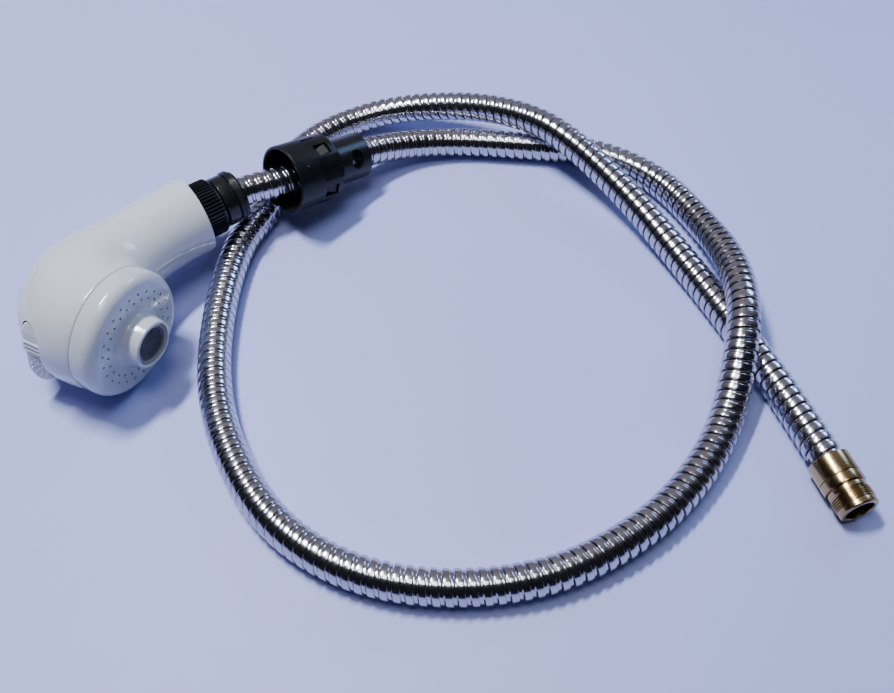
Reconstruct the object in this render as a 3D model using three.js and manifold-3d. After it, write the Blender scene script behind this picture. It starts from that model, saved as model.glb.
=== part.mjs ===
// Pull-out shower head on a metal hose, with its hose guide and threaded brass end.
// Millimetres, +Z up, floor at z = 0. The head lies on its side. +X runs along the
// handle towards the hose, and the origin is under the middle of the head.
import * as THREE from "three";
import { mergeVertices } from "three/addons/utils/BufferGeometryUtils.js";
import Module from "manifold-3d";

const wasm = await Module();
wasm.setup();

// ---- driving dimensions -------------------------------------------------------
const GAP = 0.3; // space between touching pieces
const HEAD_AT = [39.84, 23.62, 27.91]; // middle of the handle's open end
const HANDLE_PITCH = 2; // degrees that the handle dips towards the hose
const FACE_ANGLE = 64.6; // degrees from the handle's axis to the spray face's axis
const FACE_AT = [-64.9, -43.2]; // middle of the seam circle, from the handle's end
const SEAM_R = 30.1; // radius of the bell at its seam
const WALL = 2.6; // shell thickness

const CAP_DEPTH = 11.5; // seam to spray face
const CAP_EDGE = 5.4; // radius of the cap's rounded edge
const CAP_PLATE = 2.2; // thickness of the spray face
const NOZZLE_RINGS = [18.6, 22.1]; // radii of the two rings of nozzle holes
const NOZZLES = 24; // holes in each ring
const NOZZLE_R = 0.6;
const SPOUT_R = 11.2; // radius of the spout near its end
const SPOUT_BORE = 9.8;
const SPOUT_END = 21; // seam to the spout's end
const BOSS_ANGLES = [80, 180, 280]; // three screws round the face's axis
const BOSS_R = 20.5;

const ROCKER_D = -22.2; // rocker's middle, along the face axis from the seam
const ROCKER_Y = -17; // rocker's pivot, across from the face axis
const ROCKER_Z = -2.4; // height of the rocker's pivot and of the valve's middle
const ROCKER_WIDE = 12.4;
const ROCKER_LONG = 33;
const ROCKER_CREST = 12.4; // crest above the pivot
const CREST_SPAN = [1.4, 6.8]; // lower and upper edge of the crest along the rocker
const ROCKER_END = 10; // ends above the pivot
const ROCKER_TILT = 14; // degrees that the rocker leans either side of level
const ARM_LENGTH = 9; // pivot to the middle of the arm's round nose
const NOSE_R = 1.9;
const PIN_R = 1.35;
const SPOOL_Y = ROCKER_Y + 13.4; // spool's axis, across from the face axis
const SPOOL_R = 4.4;
const SPOOL_HALF = 11.5;
const SEAL_AT = 7.2; // spool's middle to each seal
const VALVE_R = 7.5;
const VALVE_BORE = 4.8;
const VALVE_HALF = 18;
const STREAM_Z = 8; // valve's middle to the port that feeds the spout

const NUT_R = 14.5;
const NUT_RIBS = 52;
const COLLAR_R = 12.9;
const COLLAR_END = 24.6;
const SOCKET_FLOOR = 16; // inner end of the collar's hose socket

const HOSE_R = 7.8;
const HOSE_SIDES = 8;
const HOSE_STEPS = 76;
const SOCKET_R = HOSE_R + 0.45;

const GUIDE_AT = [46.3, -9, 30.5]; // middle of the guide's mouth, from HEAD_AT
const GUIDE_YAW = 3.5;
const GUIDE_PITCH = 14.04;
const GUIDE_R = 17.5;
const GUIDE_BORE = 16;
const GUIDE_SHOULDER = 28.4; // mouth to shoulder
const GUIDE_LONG = 50.3;
const GUIDE_NECK_R = 12.2;
const GUIDE_NECK_BORE = 10;

const BRASS_AT = [145.7, -284.6, 9.4]; // middle of the hose's end, from HEAD_AT
const BRASS_YAW = -110.8;
const BRASS_R = 9.4;
const BRASS_SPLIT = 9.6; // hose's end to the line between ferrule and nipple
const BRASS_LONG = 25.5;
const THREAD_R = 9;
const THREAD_PITCH = 1;
const THREAD_TURNS = 5;
const NIPPLE_BORE = 6.4;

// The shell's sections, from the handle's end round the bend to the seam. Each is
// an oval on a line across the shell: the line's inner end, its direction in
// degrees, its length, and half the oval's height across the plane of symmetry.
const SHELL_SECTIONS = [
  [0, -19.55, 90, 39.1, 19.55],
  [-12, -19.9, 93, 38.4, 19.2],
  [-24, -21.6, 99, 38.4, 19.3],
  [-33, -24.2, 108, 40.5, 20.4],
  [-37, -26.3, 122, 46, 22.8],
  [-38.7, -28, 140, 53, 25.8],
  [-39, -29.3, 160, 59.5, 28.4],
  [-38.6, -30.2, 180, 62.5, 29.7],
  [-38.1, -30.4, 195, 62, 30.1],
  [-37.7, -30.3, 205.4, 60.2, 30.1],
];

// The inlet pipe's middle line inside the handle.
const PIPE_LINE = [[-6.4, 0], [-16, -0.5], [-30, -3.4], [-45, -8.8], [-58, -15.2],
  [-70.4, -21.2]];

// The hose's middle line from HEAD_AT over the floor, with low humps where it
// passes over itself.
const HOSE_ROUTE = [
  [16.4, 0, 27.34], [29, -0.1, 26.8], [46, -3.8, 25.5], [64, -6.2, 23.7],
  [82, -6.9, 21.5], [100.3, -5.6, 17], [124, -8.8, 11.3], [148, -20.5, 8.4],
  [177, -46.8, 8], [205.9, -78.9, 8], [216.8, -114.7, 8], [210.5, -153.1, 9],
  [196.4, -181.4, 17], [175.7, -206.2, 24.2], [158.3, -221.5, 22],
  [131.2, -240.7, 10.8], [105, -251.5, 8.2], [67.4, -257.1, 8],
  [20.4, -249.5, 8], [-19.1, -226.3, 8], [-46, -194.8, 8], [-58, -155.9, 8],
  [-51.3, -105.5, 8], [-29.2, -61.6, 8], [12.1, -15, 8], [38.1, -0.8, 8],
  [63.5, 19.6, 8], [79, 26.9, 8], [94.8, 30, 8], [113.2, 28.8, 8.3],
  [134.9, 20.3, 10.8], [158.5, -1, 16.3], [176.5, -29.1, 22], [187, -62, 24.3],
  [190.2, -112.8, 15.5], [184.2, -161.3, 8.8], [172.2, -209.6, 8],
  [157, -256, 8.4], [146.8, -281.8, 9.4], [143.7, -289.9, 9.4],
];

// ---- materials ----------------------------------------------------------------
const paint = (color, roughness, metalness) =>
  new THREE.MeshStandardMaterial({ color, roughness, metalness });
const WHITE = () => paint(0xe4e7ec, 0.22, 0);
const GREY = () => paint(0x8f9299, 0.4, 0);
const BLACK = () => paint(0x141416, 0.35, 0);
const SATIN_BLACK = () => paint(0x101012, 0.45, 0);
const RUBBER = () => paint(0x18181a, 0.7, 0);
const CHROME = () => paint(0xc9ccd2, 0.15, 1);
const BRASS = () => paint(0xc9a04a, 0.25, 1);
const STEEL = () => paint(0xb4b6ba, 0.3, 1);

// ---- helpers ------------------------------------------------------------------
const rad = THREE.MathUtils.degToRad;

// Turns a geometry about Z, then Y, then X, and moves it.
function placed(geometry, at = [0, 0, 0], turn = [0, 0, 0]) {
  const q = new THREE.Quaternion().setFromEuler(new THREE.Euler(...turn.map(rad)));
  return geometry.applyMatrix4(new THREE.Matrix4().compose(
    new THREE.Vector3(...at), q, new THREE.Vector3(1, 1, 1)));
}

// A closed geometry as a solid that can be joined and cut.
function solid(geometry) {
  const plain = geometry.clone();
  plain.deleteAttribute("normal");
  plain.deleteAttribute("uv");
  const g = mergeVertices(plain, 1e-4);
  return new wasm.Manifold(new wasm.Mesh({
    numProp: 3,
    vertProperties: new Float32Array(g.attributes.position.array),
    triVerts: new Uint32Array(g.index.array),
  }));
}

function geometryOf(manifold) {
  const mesh = manifold.getMesh();
  const g = new THREE.BufferGeometry();
  g.setAttribute("position", new THREE.BufferAttribute(mesh.vertProperties, 3));
  g.setIndex(new THREE.BufferAttribute(mesh.triVerts, 1));
  g.computeVertexNormals();
  return g;
}

const cut = (body, ...tools) =>
  geometryOf(tools.reduce((s, t) => s.subtract(solid(t)), solid(body)));
const joined = (body, ...more) =>
  geometryOf(more.reduce((s, t) => s.add(solid(t)), solid(body)));

// A body of revolution about X from a closed outline of [x, radius] pairs.
function turned(outline, sides = 24) {
  const pts = outline.map(([x, r]) => new THREE.Vector2(r, x));
  const area = pts.reduce((a, p, i) => {
    const q = pts[(i + 1) % pts.length];
    return a + p.x * q.y - q.x * p.y;
  }, 0);
  if (area < 0) pts.reverse();
  if (!(pts[0].x === 0 && pts[pts.length - 1].x === 0)) pts.push(pts[0].clone());
  return new THREE.LatheGeometry(pts, sides).rotateZ(-Math.PI / 2);
}

// A tube about X between two places, with its outer and inner radius.
const ring = (x0, x1, outer, inner, sides = 24) =>
  turned([[x0, inner], [x0, outer], [x1, outer], [x1, inner]], sides);

// A round rod about X.
const rod = (x0, x1, r, sides = 16) =>
  new THREE.CylinderGeometry(r, r, x1 - x0, sides)
    .rotateZ(-Math.PI / 2).translate((x0 + x1) / 2, 0, 0);

// A round rod about Z.
const post = (z0, z1, r, sides = 16) =>
  new THREE.CylinderGeometry(r, r, z1 - z0, sides)
    .rotateX(Math.PI / 2).translate(0, 0, (z0 + z1) / 2);

const box = (x, y, z, at) => new THREE.BoxGeometry(x, y, z).translate(...at);

// A bar with round ends, long along Z and wide along X, from y0 to y1.
function stadium(wide, long, y0, y1) {
  const r = wide / 2;
  const s = new THREE.Shape();
  s.absarc(0, long / 2 - r, r, 0, Math.PI, false);
  s.absarc(0, -(long / 2 - r), r, Math.PI, 2 * Math.PI, false);
  s.closePath();
  return new THREE.ExtrudeGeometry(s,
    { depth: y1 - y0, bevelEnabled: false, curveSegments: 8 })
    .rotateX(Math.PI / 2).translate(0, y1, 0);
}

const smoothCurve = (points) => new THREE.CatmullRomCurve3(
  points.map((p) => new THREE.Vector3(...p)), false, "centripetal");

// From the face's frame (x out of the face, y towards the handle) to the head's.
const toHead = (g) => placed(g, [...FACE_AT, 0], [0, 0, -FACE_ANGLE]);

// ---- head shell ---------------------------------------------------------------
// One row of the sections, read smoothly at t from 0 to 1.
function sectionAt(t) {
  const last = SHELL_SECTIONS.length - 1;
  const k = Math.min(Math.floor(t * last), last - 1);
  const f = t * last - k;
  const row = (i) => SHELL_SECTIONS[Math.max(0, Math.min(last, i))];
  return row(k).map((b, c) => {
    const [a, d, e] = [row(k - 1)[c], row(k + 1)[c], row(k + 2)[c]];
    return b + 0.5 * f * (d - a + f * (2 * a - 5 * b + 4 * d - e
      + f * (3 * (b - d) + e - a)));
  });
}

// A closed cylinder bent along the sections, drawn in by inset, and reaching past
// both ends by over.
function bentBody(inset, over, sides = 26, steps = 15) {
  const g = new THREE.CylinderGeometry(1, 1, 1, sides, steps);
  const p = g.attributes.position;
  for (let i = 0; i < p.count; i++) {
    const t = p.getY(i) + 0.5;
    const [ix, iy, angle, long, high] = sectionAt(t);
    const a = rad(angle);
    const push = t < 1e-6 ? -over : t > 1 - 1e-6 ? over : 0;
    const u = long / 2 + p.getX(i) * (long / 2 - inset);
    p.setXYZ(i, ix + Math.cos(a) * u - Math.sin(a) * push,
      iy + Math.sin(a) * u + Math.cos(a) * push, p.getZ(i) * (high - inset));
  }
  return g;
}

const bossAt = (angle, g) => g.translate(0, BOSS_R, 0).rotateX(rad(angle));

// The shell: hollow, with three screw bosses and the rocker's window.
function shellGeometry() {
  const outer = solid(bentBody(0, 0));
  let shell = outer.subtract(solid(bentBody(WALL, 2)));
  for (const angle of BOSS_ANGLES) {
    const boss = toHead(bossAt(angle, rod(-13, -4.3, 3.4, 12)));
    const rib = toHead(box(8.7, 11, 2.4, [-8.65, 5.5, 0])
      .translate(0, BOSS_R, 0).rotateX(rad(angle)));
    const hole = toHead(bossAt(angle, rod(-12, -4, 1.6, 10)));
    shell = shell.add(solid(boss).intersect(outer)).add(solid(rib).intersect(outer));
    shell = shell.subtract(solid(hole));
  }
  const window = stadium(ROCKER_WIDE + 1.2, ROCKER_LONG + 5, -45, -14);
  return geometryOf(shell.subtract(solid(toHead(window.translate(ROCKER_D, 0, ROCKER_Z)))));
}

// ---- spray face ---------------------------------------------------------------
function capOutline() {
  const out = [[GAP, SEAM_R - 2.4], [GAP, SEAM_R]];
  for (let a = 0; a <= 90; a += 22.5) {
    out.push([CAP_DEPTH - CAP_EDGE * (1 - Math.sin(rad(a))),
      SEAM_R - CAP_EDGE * (1 - Math.cos(rad(a)))]);
  }
  for (let a = 0; a <= 90; a += 30) { // hollow fillet at the foot of the spout
    out.push([CAP_DEPTH + 2.5 * (1 - Math.cos(rad(a))),
      SPOUT_R + 1.1 + 2.5 * (1 - Math.sin(rad(a)))]);
  }
  out.push([SPOUT_END - 1, SPOUT_R + 0.2], [SPOUT_END, SPOUT_R - 0.7]);
  out.push([SPOUT_END, SPOUT_BORE], [CAP_DEPTH - CAP_PLATE, SPOUT_BORE]);
  out.push([CAP_DEPTH - CAP_PLATE, SEAM_R - 6], [CAP_DEPTH - 5, SEAM_R - 2.4]);
  return out;
}

function capGeometry() {
  const holes = [];
  NOZZLE_RINGS.forEach((r, k) => {
    for (let i = 0; i < NOZZLES; i++) {
      const a = ((i + k / 2) / NOZZLES) * 2 * Math.PI;
      holes.push(rod(CAP_DEPTH - 4, CAP_DEPTH + 1, NOZZLE_R, 4)
        .translate(0, r * Math.cos(a), r * Math.sin(a)));
    }
  });
  return cut(turned(capOutline(), 36), ...holes);
}

// The inclined run from the valve to the ring of nozzles.
const sprayRun = (d0, d1, r, sides = 12) =>
  rod(d0 - ROCKER_D, d1 - ROCKER_D, r, sides).rotateY(rad(23.4))
    .translate(ROCKER_D, SPOOL_Y, ROCKER_Z - 5.9);
const streamRun = (d0, d1, r, sides = 12) =>
  rod(d0, d1, r, sides).translate(0, SPOOL_Y, ROCKER_Z + STREAM_Z);

// The inner body: a dish that feeds the nozzles round a tube that feeds the spout.
function coreGeometry() {
  const body = turned([
    [-4, 0], [-4, 26.4], [0.4, 26.4], [0.4, 27.1], [0.9, 27.1], [0.9, 25.2],
    [3.1, 25.2], [3.1, 27.1], [4.2, 27.1], [4.2, 23.5], [-1.2, 23.5], [-1.2, 14.2], [2.5, 12.4],
    [7.4, 12.4], [7.4, 7.4], [3, 7.4], [-1.5, 12], [-1.5, 0],
  ], 26);
  const screws = BOSS_ANGLES.map((a) => bossAt(a, rod(-8, 2, 1.7, 10)));
  return cut(body, streamRun(-8, -1, 2.8), sprayRun(-8, 3, 2.8), ...screws);
}

const housingGeometry = () => turned([
  [9.3, 8.4], [9.3, 9.5], [20.2, 9.5], [20.2, 8.5], [18.2, 8.5], [18.2, 7.4],
  [16.4, 7.4], [16.4, 8.4],
], 24);

// A thin disc with holes on rings, given as [radius, count] pairs.
function sieve(x0, x1, r, hole, rings, sides = 24) {
  const holes = rings.flatMap(([at, count]) =>
    Array.from({ length: count }, (_, i) => rod(x0 - 1, x1 + 1, hole, 5)
      .translate(0, at, 0).rotateX((i / count) * 2 * Math.PI)));
  return cut(rod(x0, x1, r, sides), ...holes);
}

const screwGeometry = () => turned([
  [-11, 0], [-11, 0.9], [-10, 1.3], [-0.9, 1.3], [-0.9, 2.6], [1, 2.3], [1, 0.9],
  [-0.2, 0],
], 10);

// ---- valve and rocker ---------------------------------------------------------
// The valve body: a bored barrel, two ears for the rocker's pin and a foot.
function valveGeometry() {
  const at = (g, x, z) => g.translate(x, SPOOL_Y, z);
  const barrel = at(post(-VALVE_HALF, VALVE_HALF, VALVE_R, 24), 0, 0);
  const ears = [-1, 1].map((s) => box(2, 15.6, 12, [s * 7.9, SPOOL_Y - 7.9, 0]));
  const webs = [-1, 1].map((s) => box(3.2, 6, 12, [s * 7.2, SPOOL_Y, 0]));
  const foot = box(12.7, 10, 5, [11.55, SPOOL_Y, 0]);
  const bore = at(post(-30, 30, VALVE_BORE, 20), 0, 0);
  const slot = box(8.4, 10, 9, [0, SPOOL_Y - 7, 0]);
  const pin = rod(-20, 20, PIN_R + 0.1, 12).translate(0, ROCKER_Y, 0);
  const inlet = new THREE.CylinderGeometry(2.8, 2.8, 14, 12)
    .translate(0, SPOOL_Y + 7, 0);
  const ports = [streamRun(ROCKER_D, 9, 2.8), sprayRun(ROCKER_D, 9, 2.8)]
    .map((g) => g.translate(-ROCKER_D, 0, -ROCKER_Z));
  return cut(joined(barrel, ...ears, ...webs, foot), bore, slot, pin, inlet, ...ports)
    .translate(ROCKER_D, 0, ROCKER_Z);
}

// The spool, about Z: a groove for the rocker's arm and two for seals.
function spoolGeometry() {
  const half = [[2.3, 2], [2.3, SPOOL_R], [SEAL_AT - 1.1, SPOOL_R],
    [SEAL_AT - 1.1, 3.2], [SEAL_AT + 1.1, 3.2], [SEAL_AT + 1.1, SPOOL_R],
    [SPOOL_HALF, SPOOL_R], [SPOOL_HALF, 0]];
  const outline = [...half.map(([x, r]) => [-x, r]).reverse(), ...half];
  return turned(outline, 16).rotateY(-Math.PI / 2);
}

// The rocker about its pivot: outside towards -Y, long along Z, level.
function rockerGeometry() {
  const low = -3.5;
  const side = new THREE.Shape([
    [-ROCKER_LONG / 2, low], [-ROCKER_LONG / 2, -ROCKER_END],
    [CREST_SPAN[0], -ROCKER_CREST], [CREST_SPAN[1], -ROCKER_CREST],
    [ROCKER_LONG / 2, -ROCKER_END],
    [ROCKER_LONG / 2, low],
  ].map(([z, y]) => new THREE.Vector2(-z, y)));
  const wedge = new THREE.ExtrudeGeometry(side, { depth: 16, bevelEnabled: false })
    .translate(0, 0, -8).rotateY(Math.PI / 2);
  const body = solid(wedge).intersect(solid(stadium(ROCKER_WIDE, ROCKER_LONG, -16, 4)));
  const hub = rod(-3.8, 3.8, 3.6, 16);
  const arm = box(6, ARM_LENGTH, 3.4, [0, ARM_LENGTH / 2, 0]);
  const nose = rod(-3, 3, NOSE_R, 12).translate(0, ARM_LENGTH, 0);
  const ribs = [1.9, 4.1, 6.3].map((z) => rod(-5, 5, 0.5, 8)
    .translate(0, -ROCKER_CREST, z));
  const whole = [hub, arm, nose, ...ribs].reduce((s, g) => s.add(solid(g)), body);
  return geometryOf(whole.subtract(solid(rod(-9, 9, PIN_R + 0.2, 12))));
}

// Everything that turns with the rocker, leaning to the side that feeds the spray.
const leaning = (g) => placed(g, [ROCKER_D, ROCKER_Y, ROCKER_Z], [-ROCKER_TILT, 0, 0]);
const SPOOL_SHIFT = ARM_LENGTH * Math.sin(rad(-ROCKER_TILT));
const spoolPiece = (g) => g.translate(ROCKER_D, SPOOL_Y, ROCKER_Z + SPOOL_SHIFT);

// ---- hose fittings ------------------------------------------------------------
function nutGeometry() {
  const s = new THREE.Shape();
  for (let i = 0; i < NUT_RIBS * 2; i++) {
    const a = (i / NUT_RIBS) * Math.PI;
    const r = i % 2 ? NUT_R : NUT_R - 0.7;
    s[i ? "lineTo" : "moveTo"](r * Math.cos(a), r * Math.sin(a));
  }
  s.closePath();
  const ribbed = new THREE.ExtrudeGeometry(s, { depth: 13.7, bevelEnabled: false })
    .rotateY(Math.PI / 2).translate(-1.5, 0, 0);
  const outside = turned([[-2, 0], [-2, 20], [10.4, 20], [10.4, NUT_R + 0.1],
    [12.2, NUT_R - 1.7], [12.2, 0]], 48);
  const bore = turned([[-3, 0], [-3, 10.4], [8.6, 10.4], [8.6, 8.7], [14, 8.7],
    [14, 0]], 32);
  return geometryOf(solid(ribbed).intersect(solid(outside)).subtract(solid(bore)));
}

const collarGeometry = () => turned([
  [6.2, 5.6], [6.2, 10], [8.2, 10], [8.2, 8.3], [12.6, 8.3], [12.6, COLLAR_R - 0.6],
  [13.2, COLLAR_R], [19, COLLAR_R], [19.6, 11.9], [23.2, 11.9], [23.2, 12.4],
  [COLLAR_END, 12.2], [COLLAR_END, SOCKET_R], [SOCKET_FLOOR, SOCKET_R],
  [SOCKET_FLOOR, 5.6],
], 26);

const collarRingGeometry = () => turned([
  [20, 12.2], [20, 13], [20.5, 13.5], [22.4, 13.5], [22.9, 13], [22.9, 12.2],
], 24);

const plugGeometry = () => turned([
  [-6, 5], [-6, 16.1], [-3.2, 16.1], [-3.2, 9.9], [4, 9.9], [4, 5],
], 24);

function pipeGeometry() {
  const s = new THREE.Shape();
  s.absarc(0, 0, 5.4, 0, 2 * Math.PI, false);
  const hole = new THREE.Path();
  hole.absarc(0, 0, 3.6, 0, 2 * Math.PI, true);
  s.holes.push(hole);
  return new THREE.ExtrudeGeometry(s, { steps: 9, curveSegments: 5,
    extrudePath: smoothCurve(PIPE_LINE.map(([x, y]) => [x, y, 0])) });
}

// ---- hose, guide and brass end ------------------------------------------------
function hoseGeometry() {
  const s = new THREE.Shape();
  for (let i = 0; i < HOSE_SIDES; i++) {
    const a = (i / HOSE_SIDES) * 2 * Math.PI;
    s[i ? "lineTo" : "moveTo"](HOSE_R * Math.cos(a), HOSE_R * Math.sin(a));
  }
  s.closePath();
  return new THREE.ExtrudeGeometry(s, { steps: HOSE_STEPS, curveSegments: 1,
    extrudePath: smoothCurve(HOSE_ROUTE) });
}

// The guide's open sleeve, with two slots, two snap windows and a flat on its side.
function sleeveGeometry() {
  const end = GUIDE_SHOULDER;
  const body = turned([
    [0, GUIDE_BORE], [0.3, GUIDE_R - 0.3], [0.6, GUIDE_R], [end - 1.6, GUIDE_R],
    [end, GUIDE_R - 1.6], [end, GUIDE_NECK_R + 0.4], [end - 2.2, GUIDE_NECK_R + 0.4],
    [end - 2.2, GUIDE_BORE - 1], [end - 3.4, GUIDE_BORE],
  ], 28);
  const slots = SLOT_ANGLES.map((a) =>
    box(8, 6, 1.4, [17, GUIDE_R - 0.5, 0]).rotateX(rad(a)));
  const windows = SNAP_ANGLES.map((a) =>
    box(8, 6, 6.6, [19.5, GUIDE_R - 0.5, 0]).rotateX(rad(a)));
  const flat = box(20, 6, 30, [24.5, GUIDE_R + 1.9, 0]).rotateX(rad(FLAT_ANGLE));
  return cut(body, ...slots, ...windows, flat);
}
const SLOT_ANGLES = [75, 212];
const SNAP_ANGLES = [108, 186];
const FLAT_ANGLE = 144;

// The guide's neck, whose flange and two wedge tabs sit inside the sleeve.
function neckGeometry() {
  const [end, flange] = [GUIDE_LONG, GUIDE_SHOULDER - 6];
  const body = turned([
    [flange, 11.4], [flange, GUIDE_BORE - 0.5], [flange + 2.3, GUIDE_BORE - 0.5],
    [flange + 3.4, GUIDE_BORE - 1.6], [flange + 3.4, GUIDE_NECK_R],
    [end - 0.8, GUIDE_NECK_R], [end, GUIDE_NECK_R - 0.7], [end, GUIDE_NECK_BORE],
    [GUIDE_SHOULDER, GUIDE_NECK_BORE],
  ], 24);
  const tabs = SNAP_ANGLES.map((a) =>
    box(5.5, 3.4, 5, [20.2, GUIDE_R - 2.2, 0]).rotateX(rad(a)));
  const window = stadium(7.4, 10.4, 0, 16).translate(41, 0, 0).rotateX(rad(148));
  return cut(joined(body, ...tabs), window);
}

const ferruleGeometry = () => turned([
  [0, SOCKET_R], [0, BRASS_R - 0.4], [0.4, BRASS_R], [BRASS_SPLIT - 0.2, BRASS_R],
  [BRASS_SPLIT, BRASS_R - 0.2], [BRASS_SPLIT, 8.1], [7.2, 8.1], [7.2, NIPPLE_BORE],
  [6.2, NIPPLE_BORE], [6.2, SOCKET_R],
], 24);

// The threaded nipple, whose inner end turns in the ferrule on a seal.
function nippleGeometry() {
  const neck = 14.2; // end of the plain body
  const start = 17.3; // start of the thread
  const shoulder = BRASS_SPLIT + GAP;
  const out = [[7.5, NIPPLE_BORE], [7.5, 7.8], [8, 7.8], [8, 7.1], [9.4, 7.1],
    [9.4, 7.8], [shoulder, 7.8], [shoulder, BRASS_R - 0.2],
    [shoulder + 0.2, BRASS_R], [neck, BRASS_R], [neck, THREAD_R - 0.8],
    [start, THREAD_R - 0.8]];
  for (let i = 0; i < THREAD_TURNS; i++) {
    const x = start + i * THREAD_PITCH;
    out.push([x + 0.4, THREAD_R], [x + 0.6, THREAD_R], [x + 1, THREAD_R - 0.6]);
  }
  out.push([start + THREAD_TURNS + 0.3, THREAD_R - 0.3],
    [BRASS_LONG - 0.8, THREAD_R - 0.3], [BRASS_LONG, THREAD_R - 1.1],
    [BRASS_LONG, NIPPLE_BORE]);
  return turned(out, 24);
}

// ---- assembly -----------------------------------------------------------------
const part = new THREE.Group();
part.name = "pull_out_shower_head";

function add(name, geometry, material, at, turn) {
  const m = new THREE.Mesh(placed(geometry, at, turn), material);
  m.name = name;
  part.add(m);
}
const inHead = (name, g, material) =>
  add(name, g, material, HEAD_AT, [0, HANDLE_PITCH, 0]);
const inFace = (name, g, material) => inHead(name, toHead(g), material);
const onFloor = ([x, y, z]) => [x + HEAD_AT[0], y + HEAD_AT[1], z];

inHead("head_shell", shellGeometry(), WHITE());
inFace("face_cap", capGeometry(), WHITE());
inFace("cap_seal", ring(1.15, 2.85, 27.4, 25.5, 28), RUBBER());
inFace("spray_core", coreGeometry(), GREY());
inFace("aerator_housing", housingGeometry(), GREY());
inFace("aerator_screen", sieve(18.5, 19.3, 8.2, 0.8, [[5.6, 10], [2.4, 4]]),
  STEEL());
inFace("flow_insert", sieve(13, 15.6, 8.1, 1.1, [[5.2, 6]]), WHITE());
inFace("aerator_washer", ring(7.7, 9, 12, 7.4), RUBBER());
BOSS_ANGLES.forEach((angle, i) =>
  inFace(`core_screw_${"abc"[i]}`, bossAt(angle, screwGeometry()), STEEL()));

inFace("valve_body", valveGeometry(), GREY());
inFace("stream_tube", cut(streamRun(-16.6, -2, 2.5), streamRun(-20, 4, 1.7)), GREY());
inFace("spray_tube", cut(sprayRun(-16, -0.4, 2.5), sprayRun(-20, 4, 1.7)), GREY());
inFace("valve_plug_top",
  post(VALVE_HALF - 2.6, VALVE_HALF - 0.2, 4.5).translate(ROCKER_D, SPOOL_Y, ROCKER_Z), GREY());
inFace("valve_plug_bottom",
  post(0.2 - VALVE_HALF, 2.6 - VALVE_HALF, 4.5).translate(ROCKER_D, SPOOL_Y, ROCKER_Z), GREY());
inFace("diverter_spool", spoolPiece(spoolGeometry()), WHITE());
[["spool_seal_top", SEAL_AT], ["spool_seal_bottom", -SEAL_AT]].forEach(([name, z]) =>
  inFace(name, spoolPiece(ring(-0.8, 0.8, 4.6, 3.4, 16).rotateY(Math.PI / 2).translate(0, 0, z)),
    RUBBER()));
inFace("selector_rocker", leaning(rockerGeometry()), WHITE());
inFace("rocker_pin", rod(-8.9, 8.9, PIN_R, 12).translate(ROCKER_D, ROCKER_Y, ROCKER_Z), STEEL());

inHead("inlet_pipe", pipeGeometry(), WHITE());
inHead("handle_plug", plugGeometry(), WHITE());
inHead("inlet_strainer", sieve(-2.4, -1.2, 4.7, 0.7, [[3, 6], [0, 1]], 16), STEEL());
inHead("inlet_washer", ring(4.3, 5.9, 9.6, 5.6), RUBBER());
inHead("union_nut", nutGeometry(), BLACK());
inHead("swivel_collar", collarGeometry(), BLACK());
inHead("collar_ring", collarRingGeometry(), RUBBER());

add("hose", hoseGeometry(), CHROME(), onFloor([0, 0, 0]));
const inGuide = (name, g, material) =>
  add(name, g, material, onFloor(GUIDE_AT), [0, GUIDE_PITCH, GUIDE_YAW]);
inGuide("guide_sleeve", sleeveGeometry(), SATIN_BLACK());
inGuide("guide_neck", neckGeometry(), SATIN_BLACK());

const inBrass = (name, g, material) =>
  add(name, g, material, onFloor(BRASS_AT), [0, 0, BRASS_YAW]);
inBrass("brass_ferrule", ferruleGeometry(), BRASS());
inBrass("brass_nipple", nippleGeometry(), BRASS());
inBrass("swivel_seal", ring(8.2, 9.2, 7.95, 7.3, 20), RUBBER());

export default part;
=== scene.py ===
import math

import bmesh
import bpy
import numpy as np
from mathutils import Matrix, Vector


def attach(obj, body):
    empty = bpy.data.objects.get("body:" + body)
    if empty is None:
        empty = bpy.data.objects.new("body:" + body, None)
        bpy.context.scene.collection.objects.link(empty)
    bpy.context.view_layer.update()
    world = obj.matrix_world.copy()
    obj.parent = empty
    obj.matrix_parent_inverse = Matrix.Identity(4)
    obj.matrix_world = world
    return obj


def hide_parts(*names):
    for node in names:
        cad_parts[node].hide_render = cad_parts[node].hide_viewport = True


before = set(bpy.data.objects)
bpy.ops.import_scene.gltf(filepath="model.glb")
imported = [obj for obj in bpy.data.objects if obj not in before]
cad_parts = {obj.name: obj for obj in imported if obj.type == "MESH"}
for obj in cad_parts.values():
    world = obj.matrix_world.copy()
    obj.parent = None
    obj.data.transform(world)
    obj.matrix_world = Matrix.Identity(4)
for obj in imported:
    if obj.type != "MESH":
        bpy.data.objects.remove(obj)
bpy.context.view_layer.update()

# Lengths are in millimetres until a mesh is made. +Z is up, and the head lies on its
# side on the floor with its handle along +X.
MM = 0.001

# ---- dimensions shared with the CAD source ---------------------------------------
HEAD_AT = (39.84, 23.62, 27.91)
HANDLE_PITCH = 2.0
FACE_ANGLE = 64.6
FACE_AT = (-64.9, -43.2, 0.0)
SEAM_R = 30.1
WALL = 2.6
CAP_DEPTH = 11.5
CAP_EDGE = 5.4
CAP_PLATE = 2.2
NOZZLE_RINGS = (18.6, 22.1)
NOZZLES = 24
NOZZLE_R = 0.64
SPOUT_R = 11.2
SPOUT_BORE = 9.8
SPOUT_END = 21.0
ROCKER_D = -22.2
ROCKER_Y = -17.0
ROCKER_Z = -2.4
ROCKER_WIDE = 12.4
ROCKER_LONG = 33.0
ROCKER_CREST = 12.4
CREST_SPAN = (1.4, 6.8)
ROCKER_END = 10.0
ROCKER_TILT = 14.0
ROCKER_RIBS = (1.9, 4.1, 6.3)
RIB_HALF = 4.9
RIB_R = 0.62
DOT_R = 0.68
NUT_R = 14.5
NUT_RIBS = 52
HOSE_PITCH = 5.0
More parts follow.
